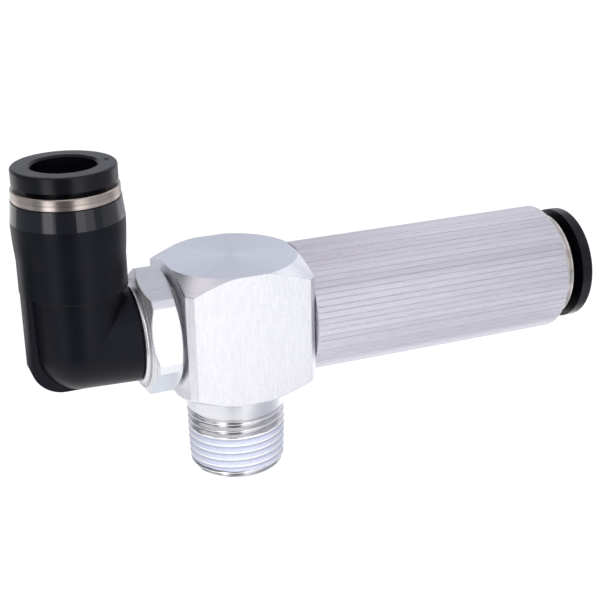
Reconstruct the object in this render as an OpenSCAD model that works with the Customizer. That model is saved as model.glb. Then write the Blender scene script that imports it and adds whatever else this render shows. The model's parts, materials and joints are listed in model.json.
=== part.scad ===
// Vacuum ejector: supply elbow, square block with taper thread, ribbed exhaust tube.
// X runs along the main axis towards the exhaust, Z up along the thread's axis,
// and the origin lies on the thread's axis in its gauge plane.

/* [Block] */
// Width of the square bar across its flats
block_w = 22.2; // [21:0.1:25]
// Height of the block above the main axis
block_up = 11.1; // [10:0.1:14]
// Depth of the block below the main axis
block_down = 11.5; // [10.5:0.1:15]
// Flat across each broken upright corner, along one side
corner_cut = 1.1; // [0.6:0.1:2.4]
// Angle of the turned chamfer on the block's top and bottom
block_chamfer_angle = 30; // [20:1:35]
// Distance from a side to the rim of the turned top and bottom
turning_inset = 0.1; // [0.05:0.05:1.5]
// Diameter of the chamber round the nozzle
chamber_d = 11.8; // [11:0.1:12.6]
// Half length of the chamber
chamber_half = 4.5; // [4:0.1:5.5]

/* [Vacuum thread] */
// Diameter of the boss above the thread
boss_d = 17; // [16.8:0.1:21]
// Height of the boss
boss_h = 3.9; // [2.5:0.1:7]
// Major diameter of the 3/8 inch taper thread in its gauge plane
thread_d = 16.662; // [16.4:0.001:16.7]
// Distance from the boss to the thread's small end
thread_l = 11.5; // [10:0.1:16]
// Distance from the gauge plane to the thread's small end
gauge_l = 6.35; // [5:0.05:7.5]
// Width of the relief groove under the boss
relief_w = 0.8; // [0.5:0.1:1.5]
// Depth of the relief groove
relief_depth = 0.45; // [0.2:0.05:0.9]
// Length of the chamfer at the thread's small end
thread_chamfer = 0.9; // [0.4:0.1:1.2]
// Diameter of the vacuum port's bore
vacuum_bore_d = 10.5; // [9:0.1:11]
// Distance from the thread's small end to the sealant
sealant_start = 1.4; // [1.3:0.1:3]
// Length of the sealant coat
sealant_l = 6.7; // [3:0.1:7]
// Thickness of the sealant coat
sealant_t = 0.1; // [0.06:0.01:0.15]

/* [Hex stem] */
// Width of the hexagon across its flats
hex_af = 19.1; // [18:0.1:20]
// Diameter of the hexagon's turned corners
hex_od = 21.2; // [20.8:0.1:22]
// Length of the hexagon
hex_l = 6; // [5:0.1:9]
// Angle that the hexagon is turned from upright
hex_turn = 13.9; // [0:0.1:59]
// Diameter of the hexagon's end face towards the elbow
hex_face_d = 16.8; // [16:0.1:18]
// Angle of the chamfer towards the elbow
hex_chamfer_angle = 34; // [20:1:40]
// Diameter of the hexagon's end face towards the block
hex_seat_d = 17.6; // [16.5:0.1:18.4]
// Angle of the chamfer towards the block
hex_seat_angle = 22; // [15:1:35]
// Gap that the stem's seat leaves between hexagon and block
hex_gap = 0.25; // [0.15:0.05:0.8]
// Diameter of the stem's seat on the block
stem_seat_d = 16.6; // [15:0.1:17.4]
// Diameter of the spigot in the block
spigot_d = 13.2; // [12.8:0.1:14.5]
// Diameter of the journal in the elbow
journal_d = 11.2; // [10.8:0.1:11.6]
// Length of the journal past the elbow's end
journal_l = 6.7; // [6.4:0.1:7]
// Diameter of the stem's bore
stem_bore_d = 7; // [6:0.1:7.4]
// Depth of the O-ring groove in the journal
journal_groove_depth = 1.25; // [1:0.05:1.3]
// Depth of the O-ring groove in the spigot
spigot_groove_depth = 0.9; // [0.7:0.05:1.1]
// Thickness of the retaining ring
retaining_t = 1; // [0.7:0.1:1.2]
// Depth of the retaining ring in the journal, and its reach past it
retaining_depth = 0.65; // [0.4:0.05:0.75]
// Opening of the retaining ring
retaining_split = 2; // [1:0.1:4]
// Distance from the elbow's end to the middle of the retaining ring
retaining_inset = 1.7; // [1.4:0.1:2]
// Distance from the journal's end to the swivel seal
swivel_seal_inset = 1.9; // [1.4:0.1:2.2]
// Distance from the block's side to the stem seal
stem_seal_inset = 2.1; // [1.5:0.1:2.8]

/* [Elbow] */
// Distance from the elbow's upright axis to its end at the hexagon
leg_reach = 9; // [8.9:0.1:12]
// Diameter of the level leg at the heel
heel_d = 15.2; // [15:0.1:16]
// Diameter of the level leg at its end
leg_end_d = 15.8; // [15.6:0.1:16.6]
// Height of the elbow's mouth above the main axis
mouth_z = 24.8; // [24:0.1:32]
// Diameter of the elbow at its mouth
mouth_d = 17.35; // [17.1:0.05:18]
// Largest diameter of the upright barrel, under its polished band
barrel_d = 18.05; // [17.8:0.05:19]
// Height of the polished band below the mouth
band_h = 3.2; // [2:0.1:4]
// Height of the flare that widens the barrel to that diameter, below the band
flare_h = 6.5; // [4:0.1:8]
// Diameter of the barrel at the ledge
ledge_d = 17.35; // [17:0.05:18]
// Height of the ledge above the main axis
ledge_z = 9.9; // [9:0.1:11]
// Diameter of the upright leg just under the ledge
neck_d = 15.5; // [15.2:0.1:16.4]
// Fillet under the ledge
ledge_fillet = 0.6; // [0.3:0.1:0.7]
// Thickness of the keel round the heel
keel_t = 5; // [3:0.1:7]
// How far the keel stays inside the barrel's outline
keel_inset = 0.1; // [0.05:0.05:0.4]
// Corner radius of the keel
keel_r = 5.5; // [3:0.1:6.5]
// Diameter of the air passage
passage_d = 8; // [7:0.1:8]
// Rounding of the level leg's end
leg_round_r = 0.4; // [0.1:0.1:0.8]
// Gap between the elbow's end and the hexagon
swivel_gap = 0.15; // [0.1:0.05:0.5]

/* [Ribbed exhaust tube] */
// How far the ribs stand out past the block's sides
rib_proud = 0.1; // [0:0.05:0.8]
// Length of the ribbed tube
tube_l = 48.4; // [44:0.1:70]
// Number of ribs
rib_count = 68; // [48:1:90]
// Depth of the grooves between the ribs
rib_depth = 0.3; // [0.1:0.05:0.5]
// Share of each pitch that is flat crest
crest_share = 0.5; // [0.3:0.05:0.7]
// Share of each pitch that is flat root
root_share = 0.08; // [0.04:0.02:0.2]
// Chamfer on the tube's two ends
tube_chamfer = 0.35; // [0.2:0.05:0.8]
// Gap that the tube's seat leaves between tube and block
tube_gap = 0.4; // [0.2:0.05:1]
// Diameter of the tube's seat on the block
tube_seat_d = 18; // [17:0.1:20]
// Diameter of the tube's spigot in the block
tube_spigot_d = 15.6; // [15:0.1:16.4]
// Depth of the O-ring groove in that spigot
tube_groove_depth = 1; // [0.8:0.05:1.2]
// Distance from the block's side to the tube seal
tube_seal_inset = 2.7; // [1.6:0.1:3.4]

/* [Nozzle and diffuser] */
// Diameter of the nozzle's body in the stem
nozzle_d = 8.9; // [8.5:0.1:9.4]
// Diameter of the nozzle's flange
nozzle_flange_d = 10.6; // [10:0.1:10.8]
// Thickness of the nozzle's flange
nozzle_flange_t = 1.1; // [0.8:0.1:1.5]
// Length of the nozzle's body behind the flange
nozzle_body_l = 4.4; // [4:0.1:5]
// Diameter of the nozzle's inlet
nozzle_inlet_d = 5.6; // [5:0.1:5.9]
// Length of the nozzle's straight inlet
nozzle_inlet_l = 3.4; // [2:0.1:4]
// Diameter of the nozzle's throat
nozzle_throat_d = 2.2; // [1.2:0.1:2.6]
// Diameter of the nozzle's outlet
nozzle_outlet_d = 2.8; // [2.7:0.1:3]
// Diameter of the nozzle's tip
nozzle_tip_d = 4; // [3.6:0.1:4.6]
// Diameter of the nozzle's cone at its flange
nozzle_cone_d = 6.4; // [5:0.1:7.4]
// Distance from the nozzle's throat to its tip
nozzle_throat_inset = 3; // [2:0.1:5]
// Distance from the nozzle's tip to the diffuser's mouth
tip_gap = 1.5; // [0.8:0.1:2]
// Depth of the O-ring groove in the nozzle
nozzle_groove_depth = 0.8; // [0.6:0.05:0.9]
// Diameter of the diffuser's body
diffuser_d = 10.8; // [10.4:0.1:11]
// Diameter of the diffuser's flange
diffuser_flange_d = 14; // [13:0.1:14.8]
// Thickness of the diffuser's flange
diffuser_flange_t = 1; // [0.8:0.1:1.5]
// Diameter of the diffuser's mouth
diffuser_mouth_d = 8.2; // [7:0.1:8.6]
// Diameter of the diffuser's throat
diffuser_throat_d = 3.6; // [3.2:0.1:5]
// Diameter of the diffuser's outlet
diffuser_outlet_d = 7; // [5.2:0.1:7.4]
// Length of the diffuser's converging mouth
diffuser_mouth_l = 8; // [5:0.1:9]
// Length of the diffuser's throat
diffuser_throat_l = 6; // [3:0.1:9]
// Depth of the O-ring grooves in the diffuser
diffuser_groove_depth = 0.9; // [0.7:0.05:1]
// Distance from the diffuser's flange to its front seal
diffuser_front_inset = 3.4; // [2:0.1:6]
// Distance from the diffuser's end to its rear seal
diffuser_rear_inset = 5; // [2:0.1:8]
// Length of the passage between diffuser and exhaust pipe
exhaust_passage_l = 3; // [1.5:0.1:4]

/* [Push-in ports] */
// Outside diameter of the supply pipe
supply_pipe_d = 10; // [9.8:0.1:10]
// Outside diameter of the exhaust pipe
exhaust_pipe_d = 12; // [11.6:0.1:12.6]
// Diameter of the supply guide ring
supply_guide_d = 17.1; // [16.8:0.1:17.3]
// Height of the supply guide ring's flange
supply_guide_h = 1.95; // [1.2:0.05:3]
// Diameter of the supply release ring
supply_release_d = 16.6; // [15.8:0.1:17.4]
// Height of the supply release ring's flange
supply_release_h = 2.5; // [1.5:0.1:4]
// Gap under the supply release ring
supply_release_gap = 0.8; // [0.6:0.05:1.6]
// Diameter of the exhaust guide ring
exhaust_guide_d = 18.9; // [18:0.1:20.4]
// Height of the exhaust guide ring's flange
exhaust_guide_h = 2.2; // [1.2:0.05:3]
// Diameter of the exhaust release ring
exhaust_release_d = 20.1; // [19:0.1:22]
// Height of the exhaust release ring's flange
exhaust_release_h = 2.1; // [1.5:0.1:4]
// Gap under the exhaust release ring
exhaust_release_gap = 1.5; // [0.6:0.05:1.6]
// Radial play of a pipe in the release rings
pipe_play = 0.2; // [0.15:0.05:0.3]
// Wall of the release rings' sleeves
release_wall = 1.05; // [0.9:0.05:1.15]
// Rounding of the release rings' edges
release_edge = 0.35; // [0.1:0.05:0.5]
// Wall of the release rings' noses
nose_wall = 0.4; // [0.3:0.05:0.6]
// Length of the taper on those noses
nose_taper_l = 1.6; // [0.8:0.1:3]
// Length of the guide rings' sleeves
guide_sleeve_l = 5.6; // [5:0.1:6.4]
// Wall of the guide rings' sleeves
guide_wall = 1.05; // [0.95:0.05:1.15]
// Chamfer on the guide rings' flanges
guide_edge = 0.15; // [0.05:0.05:0.3]
// Thickness of the lock claws' sheet
claw_t = 0.4; // [0.3:0.05:0.5]
// Drop of the lock claws' teeth
claw_drop = 1.5; // [1.2:0.1:1.7]
// How far the teeth bite into the pipe
claw_bite = 0.15; // [0.05:0.05:0.3]
// Width of the slots between the teeth
claw_slot_w = 0.9; // [0.5:0.1:1.2]
// Number of teeth on each lock claw ring
claw_teeth = 10; // [6:1:12]
// Height of the backup rings under the lock claws
backup_h = 2.1; // [1.9:0.1:2.6]
// Flat rim round the backup rings' hollow
backup_rim = 0.5; // [0.3:0.05:0.8]
// Height of the inner wall that this hollow leaves
backup_sill = 0.35; // [0.2:0.05:0.6]
// Length of the elastic seals
seal_l = 3.4; // [3:0.1:4]
// How far the seals' lips press into the pipe
lip_bite = 0.1; // [0.05:0.05:0.2]
// Length and depth of the bevels on those lips
lip_bevel_l = 0.4; // [0.2:0.1:0.8]
lip_bevel_depth = 0.3; // [0.1:0.05:0.5]
// Clearance of the seals' waists round the pipe
waist_play = 0.5; // [0.3:0.05:0.7]
// Length of the bore that holds the pipe's end
seat_l = 3.9; // [3:0.1:4.2]

/* [Hidden] */
// clearance of pieces fixed together, of pieces that run in each other, of seals, and of the coat
fixed_gap = 0.03;
run_gap = 0.05;
seal_gap = 0.03;
coat_gap = 0.01;
// what a pushed-in release ring keeps from its guide ring, and its nose from the claws
stop_gap = 0.05;
nose_gap = 0.1;
// how far a cutting shape stands past the surface that it cuts
over = 0.5;
// width of the groove that holds an O-ring, past the ring's own section
groove_room = 0.35;
// smoothness of round surfaces
$fn = 96;

// heights on the thread's axis
axis_z = block_down + boss_h + thread_l - gauge_l;
boss_z = thread_l - gauge_l;

// places along the main axis, left of the block
block_half = block_w / 2;
stem_end = -chamber_half - fixed_gap;
stem_seal_x = stem_seal_inset - block_half;
hex_right = -block_half - hex_gap;
hex_left = hex_right - hex_l;
leg_end = hex_left - swivel_gap;
retaining_x = leg_end - retaining_inset;
journal_end = leg_end - journal_l;
swivel_seal_x = journal_end + swivel_seal_inset;
elbow_x = leg_end - leg_reach;

// places along the main axis, right of the chamber
nozzle_seal_x = stem_end - nozzle_body_l / 2;
nozzle_tip = chamber_half - tip_gap;
tube_spigot_x = chamber_half + diffuser_flange_t;
diffuser_front_seal_x = tube_spigot_x + diffuser_front_inset;
tube_seal_x = block_half - tube_seal_inset;
tube_d = block_w + 2 * rib_proud;
tube_x0 = block_half + tube_gap;
tube_x1 = tube_x0 + tube_l;
port_depth = guide_sleeve_l + claw_t + backup_h + seal_l + seat_l;
diffuser_end = tube_x1 - port_depth - exhaust_passage_l;
diffuser_rear_seal_x = diffuser_end - diffuser_rear_inset;

// bores that hold a turned piece
spigot_bore_d = spigot_d + 2 * fixed_gap;
tube_bore_d = tube_spigot_d + 2 * fixed_gap;
nozzle_bore_d = nozzle_d + 2 * fixed_gap;
diffuser_bore_d = diffuser_d + 2 * fixed_gap;
elbow_bore_d = journal_d + 2 * run_gap;

// the keel's lower face, whose edges stand just proud of the heel
keel_proud = 0.05;
keel_bottom = -sqrt(pow(heel_d / 2, 2) - pow(keel_t / 2, 2)) - keel_proud;

// push-in ports, from the mouth at z = 0 inwards
claw_z = -guide_sleeve_l;
backup_z = claw_z - claw_t;
seal_z = backup_z - backup_h;
// step from the guide rings' bore down to the seals' bore
seal_bay_step = 0.45;
// what the claws' roots lie inside the release sleeve's wall, their reach from there, and their slope
claw_root_step = 0.05;
claw_reach = release_wall - claw_root_step + pipe_play + claw_bite;
claw_slope = claw_drop / claw_reach;
// step that stops the pipe's end, and play of the pipe in its seat
pipe_stop = 1;
pipe_seat_play = 0.1;

// ---- placing ----

// local Z runs along the main axis, starting x millimetres from the thread's axis
module on_main_axis(x = 0) {
    translate([x, 0, axis_z]) rotate([0, 90, 0]) children();
}

// local Z runs up out of the elbow, starting at its mouth
module at_supply_mouth() {
    translate([elbow_x, 0, axis_z + mouth_z]) children();
}

// local Z runs out of the ribbed tube, starting at its end
module at_exhaust_mouth() {
    on_main_axis(tube_x1) children();
}

// a turned piece from its half section, as [radius, height] points
module turned(points) {
    rotate_extrude() polygon(points);
}

// section points of an upper rim of radius r at height z, rounded by e
function rounded_rim(r, z, e) = [for (a = [0:30:90]) [r - e * (1 - cos(a)), z - e * (1 - sin(a))]];

// ---- seals that several pieces share ----

// width of the groove for an O-ring between two diameters
function groove_w(inner_d, outer_d) = (outer_d - inner_d) / 2 + groove_room;

// cut for an O-ring groove, centred on z, in a shaft of diameter shaft_d
module groove_cut(z, shaft_d, depth, housing_d) {
    w = groove_w(shaft_d - 2 * depth, housing_d);
    translate([0, 0, z - w / 2]) difference() {
        cylinder(d = shaft_d + 2 * over, h = w);
        translate([0, 0, -over]) cylinder(d = shaft_d - 2 * depth, h = w + 2 * over);
    }
}

// O-ring, centred on z, between a groove floor and its housing
module o_ring(z, shaft_d, depth, housing_d) {
    floor_r = shaft_d / 2 - depth;
    section_r = (housing_d / 2 - floor_r - 2 * seal_gap) / 2;
    translate([0, 0, z]) rotate_extrude()
        translate([floor_r + seal_gap + section_r, 0]) circle(r = section_r, $fn = 32);
}

// ---- block ----

module block_bar() {
    h = block_half - corner_cut;
    translate([0, 0, axis_z - block_down]) linear_extrude(block_up + block_down)
        polygon([
            [-block_half, -h], [-h, -block_half], [h, -block_half], [block_half, -h],
            [block_half, h], [h, block_half], [-h, block_half], [-block_half, h]
        ]);
}

// what the lathe leaves of the bar: flat ends with a cone round each
module turned_ends() {
    r = block_half - turning_inset;
    reach = block_half;
    drop = reach * tan(block_chamfer_angle);
    turned([
        [0, axis_z + block_up], [r, axis_z + block_up], [r + reach, axis_z + block_up - drop],
        [r + reach, axis_z - block_down + drop], [r, axis_z - block_down], [0, axis_z - block_down]
    ]);
}

module boss_and_thread() {
    r = thread_d / 2;
    turned([
        [0, boss_z + boss_h + over], [boss_d / 2, boss_z + boss_h + over], [boss_d / 2, boss_z],
        [r - relief_depth, boss_z], [r - relief_depth, boss_z - relief_w],
        [r, boss_z - relief_w - relief_depth], [r, thread_chamfer - gauge_l],
        [r - thread_chamfer, -gauge_l], [0, -gauge_l]
    ]);
}

module ejector_block() {
    color("gainsboro") difference() {
        union() {
            intersection() { block_bar(); turned_ends(); }
            boss_and_thread();
        }
        translate([0, 0, -gauge_l - over])
            cylinder(d = vacuum_bore_d, h = axis_z + gauge_l + over);
        on_main_axis(-block_half - over)
            cylinder(d = spigot_bore_d, h = block_half - chamber_half + over);
        on_main_axis(-chamber_half - over)
            cylinder(d = chamber_d, h = 2 * (chamber_half + over));
        on_main_axis(chamber_half)
            cylinder(d = tube_bore_d, h = block_half - chamber_half + over);
    }
}

module thread_sealant() {
    color("lavender") translate([0, 0, sealant_start - gauge_l]) difference() {
        cylinder(d = thread_d + 2 * sealant_t, h = sealant_l);
        translate([0, 0, -over]) cylinder(d = thread_d + 2 * coat_gap, h = sealant_l + 2 * over);
    }
}

// ---- hexagon stem ----

module hexagon() {
    face_r = hex_face_d / 2;
    seat_r = hex_seat_d / 2;
    rim_r = hex_od / 2;
    left_cone = (rim_r - face_r) * tan(hex_chamfer_angle);
    right_cone = (rim_r - seat_r) * tan(hex_seat_angle);
    intersection() {
        rotate(-hex_turn) cylinder(d = hex_af / cos(30), h = hex_l, $fn = 6);
        turned([
            [0, 0], [face_r, 0], [rim_r, left_cone], [rim_r, hex_l - right_cone],
            [seat_r, hex_l], [0, hex_l]
        ]);
    }
}

module hex_stem() {
    color("silver") difference() {
        union() {
            on_main_axis(hex_left) hexagon();
            on_main_axis(hex_right - over) cylinder(d = stem_seat_d, h = hex_gap + over);
            on_main_axis(hex_right) cylinder(d = spigot_d, h = stem_end - hex_right);
            on_main_axis(journal_end) cylinder(d = journal_d, h = hex_left - journal_end + over);
        }
        on_main_axis(journal_end - over)
            cylinder(d = stem_bore_d, h = stem_end - journal_end + 2 * over);
        on_main_axis(stem_end - nozzle_body_l - fixed_gap)
            cylinder(d = nozzle_bore_d, h = nozzle_body_l + fixed_gap + over);
        on_main_axis() {
            groove_cut(stem_seal_x, spigot_d, spigot_groove_depth, spigot_bore_d);
            groove_cut(swivel_seal_x, journal_d, journal_groove_depth, elbow_bore_d);
        }
        on_main_axis(retaining_x) retaining_groove(journal_d / 2 - retaining_depth, journal_d / 2 + over);
    }
}

// groove for the retaining ring, which sits in the journal and runs in the elbow
module retaining_groove(inner_r, outer_r) {
    w = retaining_t + 2 * run_gap;
    translate([0, 0, -w / 2]) difference() {
        cylinder(r = outer_r, h = w);
        translate([0, 0, -over]) cylinder(r = inner_r, h = w + 2 * over);
    }
}

module retaining_ring() {
    inner_r = journal_d / 2 - retaining_depth + run_gap;
    outer_r = journal_d / 2 + retaining_depth;
    color("dimgray") on_main_axis(retaining_x - retaining_t / 2) difference() {
        cylinder(r = outer_r, h = retaining_t);
        translate([0, 0, -over]) cylinder(r = inner_r, h = retaining_t + 2 * over);
        translate([0, -retaining_split / 2, -over])
            cube([outer_r + over, retaining_split, retaining_t + 2 * over]);
    }
}

module stem_seal() {
    color("black") on_main_axis() o_ring(stem_seal_x, spigot_d, spigot_groove_depth, spigot_bore_d);
}

module swivel_seal() {
    color("black") on_main_axis() o_ring(swivel_seal_x, journal_d, journal_groove_depth, elbow_bore_d);
}

// ---- nozzle and diffuser ----

module nozzle() {
    start = stem_end - nozzle_body_l;
    flange_end = stem_end + nozzle_flange_t;
    throat_x = nozzle_tip - nozzle_throat_inset;
    color("goldenrod") difference() {
        on_main_axis() turned([
            [0, start], [nozzle_d / 2, start], [nozzle_d / 2, stem_end],
            [nozzle_flange_d / 2, stem_end], [nozzle_flange_d / 2, flange_end],
            [nozzle_cone_d / 2, flange_end], [nozzle_tip_d / 2, nozzle_tip], [0, nozzle_tip]
        ]);
        on_main_axis() turned([
            [0, start - over], [nozzle_inlet_d / 2, start - over],
            [nozzle_inlet_d / 2, start + nozzle_inlet_l],
            [nozzle_throat_d / 2, throat_x], [nozzle_outlet_d / 2, nozzle_tip],
            [nozzle_outlet_d / 2, nozzle_tip + over], [0, nozzle_tip + over]
        ]);
        on_main_axis() groove_cut(nozzle_seal_x, nozzle_d, nozzle_groove_depth, nozzle_bore_d);
    }
}

module nozzle_seal() {
    color("black") on_main_axis() o_ring(nozzle_seal_x, nozzle_d, nozzle_groove_depth, nozzle_bore_d);
}

module diffuser() {
    throat_start = chamber_half + diffuser_mouth_l;
    throat_end = throat_start + diffuser_throat_l;
    end = diffuser_end - fixed_gap;
    start = chamber_half + fixed_gap;
    flange_end = tube_spigot_x;
    color("khaki") difference() {
        on_main_axis() turned([
            [0, start], [diffuser_flange_d / 2, start], [diffuser_flange_d / 2, flange_end],
            [diffuser_d / 2, flange_end], [diffuser_d / 2, end], [0, end]
        ]);
        on_main_axis() turned([
            [0, start - over], [diffuser_mouth_d / 2, start - over], [diffuser_mouth_d / 2, start],
            [diffuser_throat_d / 2, throat_start], [diffuser_throat_d / 2, throat_end],
            [diffuser_outlet_d / 2, end], [diffuser_outlet_d / 2, end + over], [0, end + over]
        ]);
        on_main_axis() {
            groove_cut(diffuser_front_seal_x, diffuser_d, diffuser_groove_depth, diffuser_bore_d);
            groove_cut(diffuser_rear_seal_x, diffuser_d, diffuser_groove_depth, diffuser_bore_d);
        }
    }
}

module diffuser_seal(x) {
    color("black") on_main_axis() o_ring(x, diffuser_d, diffuser_groove_depth, diffuser_bore_d);
}

// ---- ribbed exhaust tube ----

// section of the ribbed tube: a flat crest and a narrow root for each rib
function rib_points() =
    let (crest_r = tube_d / 2, root_r = crest_r - rib_depth, pitch = 360 / rib_count,
         crest = pitch * crest_share / 2, root = pitch * root_share / 2)
    [for (i = [0:rib_count - 1])
        for (corner = [[crest_r, -crest], [crest_r, crest],
                       [root_r, pitch / 2 - root], [root_r, pitch / 2 + root]])
            corner[0] * [cos(i * pitch + corner[1]), sin(i * pitch + corner[1])]];

module ribbed_barrel() {
    r = tube_d / 2;
    c = tube_chamfer;
    intersection() {
        linear_extrude(tube_l) polygon(rib_points());
        turned([[0, 0], [r - c, 0], [r + c, 2 * c], [r + c, tube_l - 2 * c], [r - c, tube_l], [0, tube_l]]);
    }
}

module exhaust_tube() {
    color("silver") difference() {
        union() {
            on_main_axis(tube_x0) ribbed_barrel();
            on_main_axis(block_half) cylinder(d = tube_seat_d, h = tube_gap + over);
            on_main_axis(tube_spigot_x) cylinder(d = tube_spigot_d, h = tube_x0 - tube_spigot_x + over);
        }
        on_main_axis(tube_spigot_x - over)
            cylinder(d = diffuser_bore_d, h = diffuser_end - tube_spigot_x + over);
        on_main_axis(tube_spigot_x)
            cylinder(d = exhaust_pipe_d - 2 * pipe_stop, h = tube_l + block_half);
        on_main_axis() groove_cut(tube_seal_x, tube_spigot_d, tube_groove_depth, tube_bore_d);
        at_exhaust_mouth() port_cavity(exhaust_pipe_d);
    }
}

module tube_seal() {
    color("black") on_main_axis() o_ring(tube_seal_x, tube_spigot_d, tube_groove_depth, tube_bore_d);
}

// ---- elbow ----

// upright leg: barrel with a polished band, ledge, and a neck down to the heel
module upright_leg() {
    f = ledge_fillet;
    neck_r = neck_d / 2;
    flare_z = mouth_z - band_h - flare_h;
    widening = (barrel_d - ledge_d) / 2;
    fillet = [for (a = [0:22.5:90]) [neck_r + f * (1 - cos(a)), ledge_z - f * (1 - sin(a))]];
    flare = [for (t = [0:0.2:1]) [ledge_d / 2 + widening * sin(90 * t), flare_z + flare_h * t]];
    turned(concat(
        [[0, 0], [heel_d / 2, 0]], fillet, [[ledge_d / 2, ledge_z]], flare,
        [[mouth_d / 2, mouth_z], [0, mouth_z]]
    ));
}

// level leg: a slight cone from the heel to a rounded end
module level_leg() {
    turned(concat(
        [[0, 0], [heel_d / 2, 0]], rounded_rim(leg_end_d / 2, leg_reach, leg_round_r), [[0, leg_reach]]
    ));
}

// keel that carries the barrel's outline down, round the heel and into the level leg
module keel() {
    reach = ledge_d / 2 - keel_inset;
    rise = ledge_z + over - keel_bottom;
    tail = keel_t / 2;
    intersection() {
        translate([0, keel_t / 2, keel_bottom]) rotate([90, 0, 0]) linear_extrude(keel_t) {
            translate([-reach, keel_r]) square([reach, rise - keel_r]);
            translate([keel_r - reach, 0]) square([reach - keel_r + tail, keel_r + over]);
            translate([keel_r - reach, keel_r]) circle(r = keel_r);
        }
        translate([0, 0, keel_bottom - over]) cylinder(r = reach, h = rise + 2 * over);
    }
}

module elbow_body() {
    color("#202428") difference() {
        union() {
            translate([elbow_x, 0, axis_z]) {
                upright_leg();
                sphere(d = heel_d);
                keel();
            }
            on_main_axis(elbow_x) level_leg();
        }
        on_main_axis(journal_end - swivel_gap)
            cylinder(d = elbow_bore_d, h = journal_l + swivel_gap + over);
        on_main_axis(elbow_x) cylinder(d = passage_d, h = leg_reach);
        translate([elbow_x, 0, axis_z]) sphere(d = passage_d);
        translate([elbow_x, 0, axis_z]) cylinder(d = passage_d, h = mouth_z);
        on_main_axis(retaining_x)
            retaining_groove(journal_d / 2 - over, journal_d / 2 + retaining_depth + run_gap);
        at_supply_mouth() port_cavity(supply_pipe_d);
    }
}

// ---- push-in ports: local Z = 0 at the mouth, pieces go in towards -Z ----

function release_bore_r(pipe_d) = pipe_d / 2 + pipe_play;
function sleeve_r(pipe_d) = release_bore_r(pipe_d) + release_wall;
function guide_bore_r(pipe_d) = sleeve_r(pipe_d) + run_gap;
function cartridge_r(pipe_d) = guide_bore_r(pipe_d) + guide_wall;
function seal_bay_r(pipe_d) = cartridge_r(pipe_d) - seal_bay_step;
function claw_root_r(pipe_d) = sleeve_r(pipe_d) - claw_root_step;

module port_cavity(pipe_d) {
    seat_z = seal_z - seal_l;
    translate([0, 0, backup_z]) cylinder(r = cartridge_r(pipe_d) + fixed_gap, h = -backup_z + over);
    translate([0, 0, seat_z]) cylinder(r = seal_bay_r(pipe_d) + fixed_gap, h = backup_z - seat_z + over);
    translate([0, 0, -port_depth])
        cylinder(r = pipe_d / 2 + pipe_seat_play, h = port_depth + seat_z + over);
}

// metal ring that holds the claws down and guides the release ring
module guide_ring(pipe_d, flange_d, flange_h) {
    cartridge = cartridge_r(pipe_d);
    bore = guide_bore_r(pipe_d);
    rim = flange_d / 2;
    color("rosybrown") turned([
        [bore, claw_z], [cartridge, claw_z], [cartridge, 0], [rim - guide_edge, 0],
        [rim, guide_edge], [rim, flange_h - guide_edge], [rim - guide_edge, flange_h],
        [bore, flange_h]
    ]);
}

// sheet ring with slanted teeth that grip the pipe
module lock_claws(pipe_d) {
    root = claw_root_r(pipe_d);
    tip = root - claw_reach;
    rim = cartridge_r(pipe_d) - fixed_gap;
    low = backup_z - claw_drop - over;
    color("lightsteelblue") difference() {
        turned([
            [rim, claw_z], [root, claw_z], [tip, claw_z - claw_drop], [tip, backup_z - claw_drop],
            [root, backup_z], [rim, backup_z]
        ]);
        for (i = [0:claw_teeth - 1]) rotate(i * 360 / claw_teeth)
            translate([0, -claw_slot_w / 2, low]) cube([root, claw_slot_w, claw_z - low + over]);
    }
}

// ring under the claws, hollowed so that the teeth can bend
module backup_ring(pipe_d) {
    outer = seal_bay_r(pipe_d);
    inner = pipe_d / 2 + pipe_play;
    top = backup_z - fixed_gap;
    color("whitesmoke") turned([
        [inner, seal_z], [outer, seal_z], [outer, top], [outer - backup_rim, top],
        [inner, seal_z + backup_sill]
    ]);
}

// rubber sleeve with two lips
module elastic_seal(pipe_d) {
    outer = seal_bay_r(pipe_d) - seal_gap;
    lip = pipe_d / 2 - lip_bite;
    edge = lip + lip_bevel_depth;
    waist = pipe_d / 2 + waist_play;
    top = seal_z - fixed_gap;
    low = seal_z - seal_l + fixed_gap;
    mid = (top + low) / 2;
    color("dimgray") turned([
        [edge, low], [outer, low], [outer, top], [edge, top], [lip, top - lip_bevel_l],
        [waist, mid + lip_bevel_l], [waist, mid - lip_bevel_l], [lip, low + lip_bevel_l]
    ]);
}

// flanged sleeve that is pushed in to open the claws; its nose stops just short of them
module release_ring(pipe_d, flange_d, flange_h, guide_h, gap) {
    bore = release_bore_r(pipe_d);
    sleeve = sleeve_r(pipe_d);
    low = guide_h + gap;
    top = low + flange_h;
    rim = flange_d / 2;
    nose_r = bore + nose_wall;
    nose_z = claw_z - (claw_root_r(pipe_d) - nose_r) * claw_slope + gap - stop_gap + nose_gap;
    color("#2a2e33") turned(concat(
        [[bore, nose_z], [nose_r, nose_z], [sleeve, nose_z + nose_taper_l], [sleeve, low], [rim, low]],
        rounded_rim(rim, top, release_edge),
        [[bore + release_edge, top], [bore, top - release_edge]]
    ));
}

module supply_release_ring() {
    at_supply_mouth() release_ring(supply_pipe_d, supply_release_d, supply_release_h,
                                   supply_guide_h, supply_release_gap);
}

module exhaust_release_ring() {
    at_exhaust_mouth() release_ring(exhaust_pipe_d, exhaust_release_d, exhaust_release_h,
                                    exhaust_guide_h, exhaust_release_gap);
}

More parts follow.
